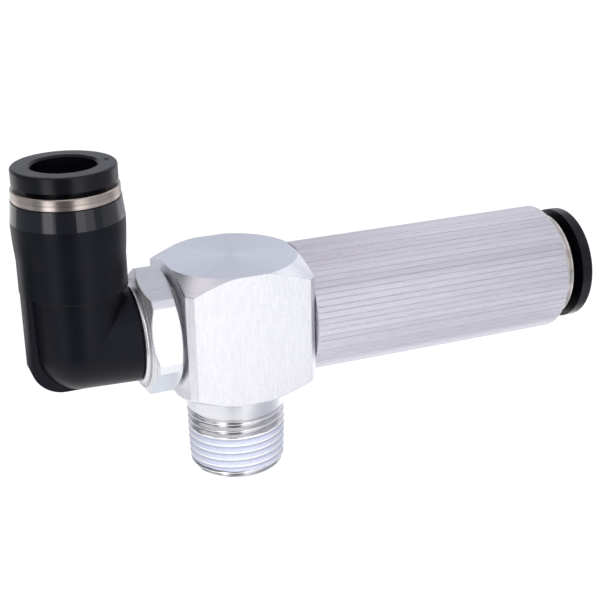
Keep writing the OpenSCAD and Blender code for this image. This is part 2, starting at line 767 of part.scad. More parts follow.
ejector_block();
thread_sealant();
hex_stem();
stem_seal();
swivel_seal();
retaining_ring();
nozzle();
nozzle_seal();
diffuser();
diffuser_seal(diffuser_front_seal_x);  // diffuser_front_seal
diffuser_seal(diffuser_rear_seal_x);  // diffuser_rear_seal
exhaust_tube();
tube_seal();
at_exhaust_mouth() guide_ring(exhaust_pipe_d, exhaust_guide_d, exhaust_guide_h);  // exhaust_guide_ring
at_exhaust_mouth() lock_claws(exhaust_pipe_d);  // exhaust_lock_claws
at_exhaust_mouth() backup_ring(exhaust_pipe_d);  // exhaust_backup_ring
at_exhaust_mouth() elastic_seal(exhaust_pipe_d);  // exhaust_elastic_seal
exhaust_release_ring();
elbow_body();
at_supply_mouth() guide_ring(supply_pipe_d, supply_guide_d, supply_guide_h);  // supply_guide_ring
at_supply_mouth() lock_claws(supply_pipe_d);  // supply_lock_claws
at_supply_mouth() backup_ring(supply_pipe_d);  // supply_backup_ring
at_supply_mouth() elastic_seal(supply_pipe_d);  // supply_elastic_seal
supply_release_ring();
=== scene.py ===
"""Looks of a vacuum ejector: aluminium block and ribbed tube, black swivel elbow, sealed thread."""

import json
import math

import bmesh
import bpy
from mathutils import Matrix, Vector


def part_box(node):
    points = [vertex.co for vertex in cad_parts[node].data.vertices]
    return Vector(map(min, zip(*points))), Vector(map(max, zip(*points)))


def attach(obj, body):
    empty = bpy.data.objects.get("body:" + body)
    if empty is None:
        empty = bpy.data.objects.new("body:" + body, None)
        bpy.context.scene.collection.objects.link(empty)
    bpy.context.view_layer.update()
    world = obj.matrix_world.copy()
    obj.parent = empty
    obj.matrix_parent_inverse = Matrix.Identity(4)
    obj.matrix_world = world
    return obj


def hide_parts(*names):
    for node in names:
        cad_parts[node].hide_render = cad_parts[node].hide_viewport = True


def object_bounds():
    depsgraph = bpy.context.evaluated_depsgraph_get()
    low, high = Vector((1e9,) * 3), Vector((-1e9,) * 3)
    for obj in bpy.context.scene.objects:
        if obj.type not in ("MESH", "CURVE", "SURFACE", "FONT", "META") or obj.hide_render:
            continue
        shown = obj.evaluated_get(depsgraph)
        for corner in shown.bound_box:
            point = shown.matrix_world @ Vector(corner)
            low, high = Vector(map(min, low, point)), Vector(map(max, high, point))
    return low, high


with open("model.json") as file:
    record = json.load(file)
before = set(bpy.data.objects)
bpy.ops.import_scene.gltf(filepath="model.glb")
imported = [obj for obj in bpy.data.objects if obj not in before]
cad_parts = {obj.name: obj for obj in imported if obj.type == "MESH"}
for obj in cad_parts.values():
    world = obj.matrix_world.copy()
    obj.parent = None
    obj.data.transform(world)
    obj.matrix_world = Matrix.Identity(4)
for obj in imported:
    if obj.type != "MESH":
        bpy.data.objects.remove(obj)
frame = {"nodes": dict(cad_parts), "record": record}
cad_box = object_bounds()

MM = 0.001


# ---- camera ----

def aim_camera(place, target, roll, lens):
    """A camera at place that looks at target, rolled by roll about its line of sight."""
    data = bpy.data.cameras.new("camera")
    data.lens = lens
    data.sensor_width = 36
    data.clip_start, data.clip_end = 0.01, 20
    camera = bpy.data.objects.new("camera", data)
    bpy.context.scene.collection.objects.link(camera)
    look = (target - place).to_track_quat("-Z", "Y")
    camera.rotation_mode = "QUATERNION"
    camera.rotation_quaternion = look @ Matrix.Rotation(roll, 3, "Z").to_quaternion()
    camera.location = place
    bpy.context.scene.camera = camera


tube_low, tube_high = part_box("exhaust_tube")
MAIN_Z = (tube_low.z + tube_high.z) / 2
AXIS = MAIN_Z / MM

CAMERA = Vector((-65.75, -193.7, AXIS + 83.7))
AIM = Vector((12.5, 0, AXIS + 0.93))
aim_camera(CAMERA * MM, AIM * MM, roll=-0.0177, lens=77.9)
FRONT = math.atan2(CAMERA.y, CAMERA.x)


# ---- shader maths ----

class Amount:
    """A value, colour or vector in a finish. Python's operators add the nodes that work on it."""

    def __init__(self, finish, socket):
        self.finish = finish
        self.socket = socket

    def work(self, operation, *others):
        """What a Math node makes of this value, alone or with others."""
        return self.finish.maths(operation, self, *others)

    def __add__(self, other):
        return self.work("ADD", other)

    def __radd__(self, other):
        return self.finish.maths("ADD", other, self)

    def __sub__(self, other):
        return self.work("SUBTRACT", other)

    def __rsub__(self, other):
        return self.finish.maths("SUBTRACT", other, self)

    def __mul__(self, other):
        return self.work("MULTIPLY", other)

    def __rmul__(self, other):
        return self.finish.maths("MULTIPLY", other, self)

    def __truediv__(self, other):
        return self.work("DIVIDE", other)

    def __rtruediv__(self, other):
        return self.finish.maths("DIVIDE", other, self)

    def scaled(self, factors):
        """A vector times these factors, axis by axis."""
        return self.finish.add("ShaderNodeVectorMath", {"operation": "MULTIPLY"}, [self, factors])

    def from_to(self, low, high):
        """0 where this is low, 1 where it is high, smooth in between."""
        return self.finish.add("ShaderNodeMapRange", {"interpolation_type": "SMOOTHSTEP"},
                               {"Value": self, "From Min": low, "From Max": high})

    def stretched(self):
        """Noise, which keeps near its middle, spread over the whole way from 0 to 1."""
        return self.from_to(0.3, 0.7)

    def choose(self, zero, one):
        """A colour between zero and one."""
        mix = self.finish.add("ShaderNodeMix", {"data_type": "RGBA"})
        node = mix.socket.node
        ends = [s for s in node.inputs if s.type == "RGBA"]
        self.finish.feed(node.inputs["Factor"], self)
        self.finish.feed(ends[0], zero)
        self.finish.feed(ends[1], one)
        return Amount(self.finish, next(s for s in node.outputs if s.type == "RGBA"))


class Finish:
    """A material with one shader, and the nodes that drive it."""

    def __init__(self, name, tree=None, **constants):
        if tree is None:
            self.material = bpy.data.materials.new(name)
            self.material.use_nodes = True
            tree = self.material.node_tree
            self.shader = tree.nodes["Principled BSDF"]
            for socket, value in constants.items():
                self.shader.inputs[socket.replace("_", " ")].default_value = value
        self.tree = tree

    def add(self, kind, settings=None, values=(), outlet=0):
        """A node of that kind. Values go to its sockets in order, or by name in a dict."""
        node = self.tree.nodes.new(kind)
        for name, value in (settings or {}).items():
            setattr(node, name, value)
        named = values.items() if isinstance(values, dict) else enumerate(values)
        for name, value in named:
            self.feed(node.inputs[name], value)
        return Amount(self, node.outputs[outlet])

    def maths(self, operation, *values):
        return self.add("ShaderNodeMath", {"operation": operation}, values)

    def feed(self, socket, value):
        if isinstance(value, Amount):
            self.tree.links.new(value.socket, socket)
        else:
            socket.default_value = value

    def drive(self, **sockets):
        for socket, value in sockets.items():
            self.feed(self.shader.inputs[socket.replace("_", " ")], value)
        return self

    def place(self):
        """Where the point lies on the piece: the vector, and its three parts, in millimetres."""
        vector = self.add("ShaderNodeTexCoord", outlet="Object")
        vector = vector.scaled((1 / MM, 1 / MM, 1 / MM))
        parts = self.add("ShaderNodeSeparateXYZ", values=[vector]).socket.node.outputs
        return vector, *(Amount(self, s) for s in parts)

    def noise(self, vector, detail=2.0, roughness=0.5):
        return self.add("ShaderNodeTexNoise", {}, {
            "Vector": vector, "Scale": 1.0, "Detail": detail, "Roughness": roughness})

    def streaks(self, along, detail=2.0):
        """Noise that changes only as along does."""
        return self.add("ShaderNodeTexNoise", {"noise_dimensions": "1D"}, {
            "W": along, "Scale": 1.0, "Detail": detail})

    def bump(self, height, depth):
        """Normals for a height from 0 to 1, where 1 stands depth millimetres above 0."""
        return self.add("ShaderNodeBump", {}, {
            "Strength": 1.0, "Distance": depth * MM, "Height": height})


def length(a, b):
    return (a * a + b * b).work("SQRT")


def colour(red, green, blue):
    return (red, green, blue, 1)


def grey(value):
    return colour(value, value, value)


def drawn_metal(name, shade, roughness, grain, depth):
    """Metal with a grain drawn out along one axis. grain is how fast it changes along each,
    and depth how high it is in millimetres."""
    finish = Finish(name, Metallic=1.0)
    vector, _, _, _ = finish.place()
    lines = finish.noise(vector.scaled(grain), 3.0, 0.6)
    specks = finish.noise(vector.scaled([max(grain) * 0.6] * 3), 1.0)
    mixed = lines * 0.65 + specks * 0.35
    dark = colour(*(c * 0.9 for c in shade))
    bright = colour(*(min(1, c * 1.06) for c in shade))
    return finish.drive(
        Base_Color=mixed.stretched().choose(dark, bright),
        Roughness=mixed * 0.15 + (roughness - 0.07),
        Normal=finish.bump(mixed, depth),
    ).material


def turned_metal(name, shade, roughness, axis, lines, depth, contrast=0.05, painted_sheen=False,
                 metallic=1.0):
    """Metal with fine rings round its axis: MAIN, or the x of an upright one.
    lines is how many there are in a millimetre, and depth how high they are. The flag after
    contrast paints a radial sheen on a faced end: light and dark wedges by angle round the axis."""
    finish = Finish(name, Metallic=metallic)
    _, x, y, z = finish.place()
    away = length(y, z - AXIS) + x if axis == MAIN else length(x - axis, y) + z
    rings = finish.streaks(away * lines, 3.0)
    broad = finish.streaks(away * (lines * 0.2) + 40.0, 1.0)
    tone = broad.stretched()
    # painted sheen: light and dark wedges by angle round the axis stand in for the reflections of a
    # turned face
    if painted_sheen:
        turn = y.work("ARCTAN2", x)
        sheen_sector = (turn * 2.0 + SHEEN_FAN_TURN).work("COSINE")
        fine = finish.streaks(sheen_sector * 1.6 + turn.work("ABSOLUTE") * 2.2 + 9.0, 3.0)
        tone = sheen_sector * 0.3 + fine * 0.5 + tone * 0.2 + 0.1
    dark = colour(*(c * (1 - contrast) for c in shade))
    return finish.drive(
        Base_Color=tone.choose(dark, colour(*shade)),
        Roughness=rings * 0.1 + (roughness - 0.05),
        Normal=finish.bump(rings, depth),
    ).material


def ribbed_metal():
    """Extruded metal whose ribs differ a little from each other."""
    finish = Finish("ribbed_aluminium", Metallic=1.0)
    vector, x, y, z = finish.place()
    rib = (z - AXIS).work("ARCTAN2", y * -1.0) * (RIBS / math.tau)
    tone = finish.streaks(rib.work("ROUND") * 0.37 + 31.0, 0.0)
    grain = finish.noise(vector.scaled((0.25, 4.0, 4.0)), 3.0, 0.6)
    fine = finish.noise(vector.scaled((1.2, 9.0, 9.0)), 2.0)
    mixed = tone * 0.35 + grain * 0.4 + fine * 0.25
    dark, bright = colour(0.70, 0.685, 0.745), colour(0.84, 0.825, 0.89)
    return finish.drive(
        Base_Color=mixed.stretched().choose(dark, bright),
        Roughness=mixed * 0.2 + 0.48,
        Normal=finish.bump(grain * 0.5 + fine * 0.5, 0.03),
    ).material


def moulded_resin(name, shade, roughness, gloss, polished_from=None):
    """Black resin with a faint satin grain. Above polished_from it is glossy."""
    finish = Finish(name, Base_Color=shade)
    finish.shader.inputs["Specular IOR Level"].default_value = gloss
    finish.shader.inputs["Specular Tint"].default_value = colour(0.95, 0.97, 1.06)
    vector, _, _, z = finish.place()
    grain = finish.noise(vector.scaled((3.0, 3.0, 3.0)), 3.0, 0.6)
    broad = finish.noise(vector.scaled((0.25, 0.25, 0.25)), 2.0)
    if polished_from:
        shine = z.from_to(polished_from - 0.05, polished_from + 0.05)
        finish.shader.inputs["Coat Roughness"].default_value = 0.06
        finish.drive(Coat_Weight=shine)
        grain = grain * (1.0 - shine)
    return finish.drive(
        Roughness=broad * 0.1 + (roughness - 0.05),
        Normal=finish.bump(grain, 0.004),
    ).material


def speckled(name, dark, bright, roughness, size, depth, metallic=0.0):
    """A plain stuff whose colour and surface change a little from speck to speck."""
    finish = Finish(name, Metallic=metallic)
    vector, _, _, _ = finish.place()
    specks = finish.noise(vector.scaled([1 / size] * 3), 3.0, 0.6)
    return finish.drive(
        Base_Color=specks.stretched().choose(dark, bright),
        Roughness=specks * 0.1 + (roughness - 0.05),
        Normal=finish.bump(specks, depth),
    ).material


def on_crest(x, y, z):
    """1 on the crests of the thread, -1 in its roots."""
    turn = y.work("ARCTAN2", x) - FRONT
    phase = (z - CREST_AT_FRONT) / PITCH - turn / math.tau
    return (phase * math.tau).work("COSINE")


def thread_finish():
    """Turned metal with a highlight painted white along its crests."""
    finish = Finish("thread_metal", Metallic=1.0)
    _, x, y, z = finish.place()
    rings = finish.streaks(z * 6.0, 3.0)
    flank = rings.stretched().choose(colour(0.68, 0.68, 0.70), colour(0.76, 0.76, 0.78))
    # painted highlight: the crests are painted white
    bright = on_crest(x, y, z).from_to(0.80, 0.97)
    return finish.drive(
        Base_Color=bright.choose(flank, grey(1)),
        Roughness=rings * 0.1 + 0.17,
        Normal=finish.bump(rings, 0.001),
    ).material


def thread_coat_finish():
    """Sealant: speckled, with a highlight painted white along the crests, where it lies thin."""
    finish = Finish("sealant")
    finish.shader.inputs["Specular IOR Level"].default_value = 0.3
    vector, x, y, z = finish.place()
    specks = finish.noise(vector.scaled((4.5, 4.5, 4.5)), 3.0, 0.65)
    body = specks.from_to(0.32, 0.68).choose(colour(0.52, 0.545, 0.69), colour(0.65, 0.68, 0.82))
    return finish.drive(
        # painted highlight: white along the crests
        Base_Color=on_crest(x, y, z).from_to(0.70, 0.95).choose(body, grey(1)),
        Roughness=specks * 0.2 + 0.45,
        Normal=finish.bump(specks, 0.05),
    ).material


MAIN = "main"
RIBS = 68
INCH = 25.4
PITCH = INCH / 19
# height of the crest that faces the camera, over the gauge plane
CREST_AT_FRONT = 0.2
# turn of the painted sheen's light and dark wedges on the block's top
SHEEN_FAN_TURN = math.radians(44)

guide_low, guide_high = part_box("supply_guide_ring")
SUPPLY_X = (guide_low.x + guide_high.x) / 2 / MM
# how far down from the top of the guide ring the polished band ends
BAND_DOWN = 5.15
POLISHED_FROM = guide_high.z / MM - BAND_DOWN

drawn_block = drawn_metal("drawn_aluminium", (0.86, 0.86, 0.905), 0.38,
                          grain=(5.0, 5.0, 0.45), depth=0.02)
# the block's turned top has a painted radial sheen
turned_block = turned_metal("turned_aluminium", (0.90, 0.92, 0.98), 0.26, axis=0, lines=22.0,
                            depth=0.004, contrast=0.14, painted_sheen=True)
turned_boss = turned_metal("turned_boss", (0.78, 0.79, 0.83), 0.34, axis=0, lines=12.0,
                           depth=0.004)
thread_metal = thread_finish()
drawn_hex = drawn_metal("drawn_hexagon", (0.84, 0.85, 0.89), 0.3,
                        grain=(0.45, 5.0, 5.0), depth=0.01)
turned_hex = turned_metal("turned_hexagon", (0.74, 0.74, 0.77), 0.26, axis=MAIN, lines=7.0,
                          depth=0.006, contrast=0.25, metallic=0.8)
tube_alu = ribbed_metal()
sealant = thread_coat_finish()
# one nickel plating in two copies: painted darker for the supply ring and lighter for the side
# ring, as painted shade and light
nickel = turned_metal("nickel", (0.53, 0.465, 0.43), 0.24, axis=SUPPLY_X, lines=5.0,
                      depth=0.012, contrast=0.35)
lit_side_nickel = turned_metal("lit_side_nickel", (0.76, 0.71, 0.67), 0.20, axis=MAIN, lines=9.0,
                           depth=0.008, contrast=0.35)
elbow_resin = moulded_resin("elbow_resin", colour(0.0022, 0.0026, 0.0050), 0.36, gloss=0.17,
                            polished_from=POLISHED_FROM)
release_resin = moulded_resin("release_resin", colour(0.0017, 0.0018, 0.0030), 0.28, gloss=0.30)
brass = speckled("brass", colour(0.72, 0.52, 0.22), colour(0.83, 0.64, 0.33), 0.25,
                 size=0.4, depth=0.002, metallic=1.0)
steel = speckled("spring_steel", grey(0.52), grey(0.66), 0.25,
                 size=0.4, depth=0.002, metallic=1.0)
ivory = speckled("ivory_resin", colour(0.68, 0.62, 0.48), colour(0.76, 0.71, 0.60), 0.45,
                 size=0.5, depth=0.004)
rubber = speckled("rubber", grey(0.012), grey(0.020), 0.55, size=0.3, depth=0.006)

BY_SLOT = {
    "block_aluminium": drawn_block, "tube_aluminium": tube_alu, "stem_metal": drawn_hex,
    "thread_sealant": sealant, "nickel_plate": nickel, "elbow_resin": elbow_resin,
    "release_resin": release_resin, "brass": brass, "spring_steel": steel,
    "ivory_resin": ivory, "rubber": rubber,
}
for part in frame["record"]["subparts"]:
    node = frame["nodes"][part["node"]]
    node.data.materials.clear()
    node.data.materials.append(BY_SLOT[part["material_slot"]])
# the side guide ring takes the copy of the nickel that is painted lighter
frame["nodes"]["exhaust_guide_ring"].data.materials[0] = lit_side_nickel


# ---- skins, in millimetres ----

def round_upright(angle, height, radius):
    """A point round the thread's axis."""
    return Vector((radius * math.cos(angle), radius * math.sin(angle), height))


def round_main(angle, along, radius):
    """A point round the axis of the hexagon and the tube. The angle starts at the front."""
    return Vector((along, -radius * math.cos(angle), AXIS + radius * math.sin(angle)))


def off_main(point):
    return math.hypot(point.y, point.z - AXIS)


def box_mm(node):
    low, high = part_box(node)
    return low / MM, high / MM


def points_mm(node):
    return [v.co / MM for v in frame["nodes"][node].data.vertices]


class Skin:
    """The points and faces of one piece."""

    def __init__(self):
        self.points = []
        self.faces = []

    def turn(self, place, angles, section, closed=False, seam=False):
        """Sweeps a section round the axis that place stands for. The section is a list of
        (along, radius), or gives one for an angle. closed adds a lid at both ends. With a seam,
        the last angle is the first one a whole turn on."""
        sections = [section(a) if callable(section) else section for a in angles]
        columns = [[place(a, *spot) for spot in spots] for a, spots in zip(angles, sections)]
        first, count, length = len(self.points), len(angles), len(columns[0])
        for column in columns:
            self.points.extend(column)
        for j in range(count - 1 if seam else count):
            near, far = first + j * length, first + (j + 1) % count * length
            for i in range(length - 1):
                self.faces.append((near + i, far + i, far + i + 1, near + i + 1))
        if closed:
            self.faces.append([first + j * length for j in range(count)][::-1])
            self.faces.append([first + j * length + length - 1 for j in range(count)])
        return self

    def keep(self, node, wanted):
        """Adds those faces of the CAD node whose points are all wanted."""
        points = points_mm(node)
        good = [wanted(p) for p in points]
        number = {}
        for polygon in frame["nodes"][node].data.polygons:
            if all(good[v] for v in polygon.vertices):
                for v in polygon.vertices:
                    if v not in number:
                        number[v] = len(self.points)
                        self.points.append(points[v])
                self.faces.append([number[v] for v in polygon.vertices])
        return self

    def mesh(self, name):
        data = bpy.data.meshes.new(name)
        data.from_pydata([p * MM for p in self.points], [], self.faces)
        return data


def tidy(data, edge_angle=28):
    """Outward faces, one point where seams meet, smooth but for edges over that angle."""
    work = bmesh.new()
    work.from_mesh(data)
    bmesh.ops.remove_doubles(work, verts=work.verts, dist=1e-7)
    bmesh.ops.recalc_face_normals(work, faces=work.faces)
    work.to_mesh(data)
    work.free()
    data.shade_smooth()
    data.set_sharp_from_angle(angle=math.radians(edge_angle))
    return data


def carve(body, cutter):
    """The mesh body less the mesh cutter."""
    things = [bpy.data.objects.new(m.name, m) for m in (body, cutter)]
    for thing in things:
        bpy.context.scene.collection.objects.link(thing)
    cut = things[0].modifiers.new("cut", "BOOLEAN")
    cut.operation, cut.solver, cut.object = "DIFFERENCE", "EXACT", things[1]
    ready = things[0].evaluated_get(bpy.context.evaluated_depsgraph_get())
    result = bpy.data.meshes.new_from_object(ready)
    for thing in things:
        bpy.data.objects.remove(thing)
    return result


def join(*meshes):
    """One mesh of all these."""
    work = bmesh.new()
    for data in meshes:
        work.from_mesh(data)
    result = bpy.data.meshes.new(meshes[0].name)
    work.to_mesh(result)
    work.free()
    return result


def put(name, data, body, finishes, stands_for=(), pick=None):
    """Shows the mesh as a piece on a CAD body, in place of the CAD nodes it stands for.
    pick(middle, normal) gives a face's finish, where there are several."""
    piece = bpy.data.objects.new(name, data)
    bpy.context.scene.collection.objects.link(piece)
    for finish in finishes:
        data.materials.append(finish)
    for polygon in data.polygons if pick else ():
        polygon.material_index = finishes.index(pick(polygon.center / MM, polygon.normal))
    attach(piece, body)
    if stands_for:
        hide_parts(*stands_for)


def evenly(count):
    """Angles all round, at one step."""
    return [math.tau * i / count for i in range(count)]


def angles_near(corners, step, close=(0.05, 0.1, 0.2, 0.3, 0.5, 0.8)):
    """Angles all round at that step in degrees, with more of them beside each corner."""
    fine = {round((c + side * d) % 360, 4)
            for c in corners for d in (0, *close) for side in (-1, 1)}
    rough = {round(i * step, 4) for i in range(round(360 / step))}
    rough = {a for a in rough if all(abs((a - c + 180) % 360 - 180) > close[-1] for c in corners)}
    return [math.radians(a) for a in sorted(fine | rough)]


def soft_least(radii, sharpness):
    """The least of the radii, with a small round where two of them meet."""
    least = min(radii)
    return least * sum((least / r) ** sharpness for r in radii) ** (-1 / sharpness)


def edge_arc(size, steps=4):
    """(inset, drop) pairs down a small rounded edge, from the top inwards to the side."""
    turns = [math.pi / 2 * i / steps for i in range(1, steps + 1)]
    return [(size * (1 - math.sin(t)), size * (1 - math.cos(t))) for t in turns]


# how near a point lies that counts as on a face or an edge
TINY = 0.01
# small rounded edges, and the ring of points beside them that keeps a flat's shading even
EDGE = 0.08
RING_IN, RING_DOWN = 0.15, 0.2


# ---- block: drawn bar, turned at both ends ----

block_low, block_high = box_mm("ejector_block")
HALF_BLOCK = block_high.x
BLOCK_TOP = block_high.z
BLOCK_DOWN = 11.5
BLOCK_BOTTOM = AXIS - BLOCK_DOWN
CORNER_CUT = 1.1
CONE = math.tan(math.radians(32))
RIM = HALF_BLOCK + 0.25
LEAST_CONE = 0.02
LID = 4.0

bar_corner = math.degrees(math.atan2(HALF_BLOCK - CORNER_CUT, HALF_BLOCK))
rim_corner = math.degrees(math.acos(HALF_BLOCK / RIM))
bar_corners = [quarter + side * away for quarter in range(0, 360, 90) for side in (-1, 1)
               for away in (bar_corner, rim_corner)]
corner_flat = (2 * HALF_BLOCK - CORNER_CUT) / math.sqrt(2)


def bar_radius(angle):
    sides = [(math.radians(d), HALF_BLOCK) for d in range(0, 360, 90)]
    sides += [(math.radians(d), corner_flat) for d in range(45, 360, 90)]
    facing = [(math.cos(angle - way), away) for way, away in sides]
    return soft_least([away / c for c, away in facing if c > 0.1], sharpness=600)


def block_section(angle):
    wall = bar_radius(angle)
    cone_end = wall - EDGE
    flat_end = min(RIM, cone_end - LEAST_CONE)

    def level(radius):
        return max(0, radius - RIM) * CONE

    half = [(0, LID), (0, flat_end - RING_IN), (0, flat_end)]
    for share in (0.4, 0.97, 1):
        radius = flat_end + share * (cone_end - flat_end)
        half.append((level(radius), radius))
    half += [(level(wall - inset) + drop, wall - inset) for inset, drop in edge_arc(EDGE)]
    half.append((level(wall) + RING_DOWN, wall))
    upper = [(BLOCK_TOP - drop, radius) for drop, radius in half]
    lower = [(BLOCK_BOTTOM + drop, radius) for drop, radius in reversed(half)]
    return upper + lower


def solid(name, place, angles, section):
    """A closed mesh, turned round an axis."""
    return tidy(Skin().turn(place, angles, section, closed=True).mesh(name))


VACUUM_BORE = 5.25
SPIGOT_BORE, TUBE_BORE = 6.63, 7.83
CHAMBER, CHAMBER_REACH = 5.9, 4.5
PAST = HALF_BLOCK + 1

cross_bores = [(-PAST, SPIGOT_BORE), (-CHAMBER_REACH, SPIGOT_BORE), (-CHAMBER_REACH, CHAMBER),
               (CHAMBER_REACH, CHAMBER), (CHAMBER_REACH, TUBE_BORE), (PAST, TUBE_BORE)]
upright_bore = [(0, VACUUM_BORE), (AXIS, VACUUM_BORE)]

bar = solid("bar", round_upright, angles_near(bar_corners, 3), block_section)
bar = carve(bar, solid("cross_bores", round_main, evenly(96), cross_bores))
bar = carve(bar, solid("upright_bore", round_upright, evenly(96), upright_bore))


# ---- taper thread and its coat ----

TAPER = 1 / 32
GAUGE_RADIUS = 8.331
FLANK = 1 / math.tan(math.radians(27.5))
SHARP_HEIGHT = PITCH / 2 * FLANK
ROUND_REACH = 2 * SHARP_HEIGHT / 6 / FLANK
THREAD_END = block_low.z
THREAD_BEVEL, BORE_BEVEL, LIP = 0.9, 0.3, 0.1
BOSS_RADIUS, BOSS_BOTTOM = 8.5, 5.15
RELIEF_RADIUS, RELIEF_END = 8.05, 4.8
RUN_OUT = 0.7
OVERLAP = 0.05
ROWS_PER_TURN = 24


def flank_height(away):
    """Height over the sharp root, at that distance along the axis from the crest's middle."""
    down, up = away, PITCH / 2 - away
    if down < ROUND_REACH:
        return SHARP_HEIGHT - FLANK * (down ** 2 + ROUND_REACH ** 2) / (2 * ROUND_REACH)
    if up < ROUND_REACH:
        return FLANK * (up ** 2 + ROUND_REACH ** 2) / (2 * ROUND_REACH)
    return SHARP_HEIGHT - FLANK * down


def below_crest(angle, height):
    """How far the thread's surface lies under its crest there."""
    turns = (height - CREST_AT_FRONT) / PITCH - (angle - FRONT) / math.tau
    away = abs(turns - round(turns)) * PITCH
    return flank_height(0) - flank_height(away)


def crest_radius(height):
    return GAUGE_RADIUS + height * TAPER


def thread_radius(angle, height):
    """Radius of the bare metal there, with the bevel at its end and the run-out at its top."""
    full = min(1, max(0, (RELIEF_END - height) / RUN_OUT))
    cut = crest_radius(height) - below_crest(angle, height) * full * full * (3 - 2 * full)
    bevel = GAUGE_RADIUS - THREAD_BEVEL + (height - THREAD_END)
    run_out = RELIEF_RADIUS + max(0, RELIEF_END - height)
    return min(cut, bevel, run_out)


def thread_section(angle):
    """Rows of points that climb with the helix, cut off at both ends of the thread."""
    step = PITCH / ROWS_PER_TURN
    start = THREAD_END - PITCH + (angle - FRONT) / math.tau * PITCH
    rows = round((RELIEF_END - THREAD_END) / step) + 2 * ROWS_PER_TURN
    heights = [min(max(start + i * step, THREAD_END), RELIEF_END) for i in range(rows + 1)]
    inside = [(BLOCK_BOTTOM, VACUUM_BORE), (THREAD_END + BORE_BEVEL, VACUUM_BORE),
              (THREAD_END, VACUUM_BORE + BORE_BEVEL)]
    thread = [(z, thread_radius(angle, z)) for z in heights]
    neck = [(BOSS_BOTTOM - LIP, RELIEF_RADIUS), (BOSS_BOTTOM, RELIEF_RADIUS + LIP)]
    lip = [(BOSS_BOTTOM + drop, BOSS_RADIUS - inset) for inset, drop in [(LIP, 0), *edge_arc(LIP)]]
    return inside + thread + neck + lip + [(BLOCK_BOTTOM + OVERLAP, BOSS_RADIUS)]


whole_turn = [FRONT - math.pi + math.radians(2 * i) for i in range(181)]
neck = Skin().turn(round_upright, whole_turn, thread_section, seam=True).mesh("neck")
block = join(bar, neck)


def block_finish(middle, normal):
    if middle.z < BOSS_BOTTOM + 2 * TINY:
        return thread_metal
    if middle.z < BLOCK_BOTTOM + 2 * TINY:
        return turned_boss
    on_side = abs(normal.z) < 0.35 and math.hypot(middle.x, middle.y) > BOSS_RADIUS + 1
    return drawn_block if on_side else turned_block


put("block_and_thread", tidy(block), "ejector",
    [drawn_block, turned_block, thread_metal, turned_boss], ["ejector_block"], block_finish)

coat_low, coat_high = box_mm("thread_sealant")
COAT_INSET, COAT_EDGE = 0.1, 0.12
FILM, SUNK = 0.05, 0.02
UNFILLED = 0.25
COAT_ROWS = 110


def coat_section(angle):
    """The coat fills the roots, thins out over the crests and ends along the helix."""
    turn = (angle - FRONT + math.pi) % math.tau - math.pi
    ragged = 0.05 * math.sin(7 * angle) + 0.04 * math.sin(17 * angle + 1)
    top = coat_high.z - COAT_INSET + PITCH * turn / math.tau + ragged
    bottom = coat_low.z + 0.5 * ragged
    section = []
    for i in range(COAT_ROWS + 1):
        height = bottom + (top - bottom) * i / COAT_ROWS
        edge = min(height - bottom, top - height, COAT_EDGE) / COAT_EDGE
        film = FILM * math.sqrt(max(0, 1 - (1 - edge) ** 2))
        bare = thread_radius(angle, height)
        filled = crest_radius(height) - UNFILLED * below_crest(angle, height)
        section.append((height, bare - SUNK + (max(filled - bare, 0) + film + SUNK) * edge))
    return section


coat = Skin().turn(round_upright, evenly(192), coat_section).mesh("coat")
put("thread_coat", tidy(coat), "ejector", [sealant], ["thread_sealant"])


# ---- hexagon ----

HEX_FLAT = 9.55
HEX_OUTER = 10.6
HEX_LEFT, HEX_RIGHT = -17.35, -11.35
HEX_TURN = math.radians(13.9)
FACE_RADIUS, FACE_CONE = 8.4, math.tan(math.radians(34))
SEAT_RADIUS, SEAT_CONE = 8.8, math.tan(math.radians(22))
COLLAR, FILLET = 8.05, 0.6
LAP_IN, LAP_DOWN = 0.03, 0.5

journal_rim = max(off_main(p) for p in points_mm("hex_stem")
                  if abs(p.x - HEX_LEFT) < TINY and off_main(p) < FACE_RADIUS - 0.1)

flat_end = math.degrees(math.acos(HEX_FLAT / HEX_OUTER))
hex_corners = [math.degrees(HEX_TURN) + 60 * i + side * flat_end
               for i in range(6) for side in (-1, 1)]


def hex_radius(angle):
    across = (angle - HEX_TURN + math.pi / 6) % (math.pi / 3) - math.pi / 6
    return soft_least([HEX_FLAT / math.cos(across), HEX_OUTER], sharpness=400)


def hex_section(angle):
    """From the elbow's side to the block's: collar, coned face, flat, coned face, lap."""
    wall = hex_radius(angle)

    def side(face, radius, cone, inwards):
        tip = wall - EDGE
        steps = [radius + share * (tip - radius) for share in (0, 0.5, 0.95, 1)]
        path = [(face + inwards * (r - radius) * cone, r) for r in steps]
        for inset, drop in edge_arc(EDGE):
            r = wall - inset
            path.append((face + inwards * ((r - radius) * cone + drop), r))
        return path + [(path[-1][0] + inwards * RING_DOWN, wall)]

    turns = [math.pi / 12 * i for i in range(7)]
    collar = [(HEX_LEFT + FILLET * math.sin(t), COLLAR + FILLET * (1 - math.cos(t))) for t in turns]
    left = side(HEX_LEFT + FILLET, FACE_RADIUS + FILLET / FACE_CONE, FACE_CONE, 1)
    right = side(HEX_RIGHT, SEAT_RADIUS, SEAT_CONE, -1)
    lap = [(HEX_RIGHT - LAP_IN, SEAT_RADIUS - LAP_DOWN)]
    return [(HEX_LEFT, journal_rim), *collar, *left, *right[::-1], *lap]


def inside_hexagon(point):
    on_face = abs(point.x - HEX_LEFT) < TINY and off_main(point) > journal_rim + TINY
    return off_main(point) < SEAT_RADIUS + TINY and not on_face


hexagon = Skin().turn(round_main, angles_near(hex_corners, 2), hex_section)
hexagon.keep("hex_stem", inside_hexagon)


def hexagon_finish(middle, normal):
    on_flat = abs(normal.x) < 0.2 and off_main(middle) > HEX_FLAT - 0.1
    return drawn_hex if on_flat else turned_hex


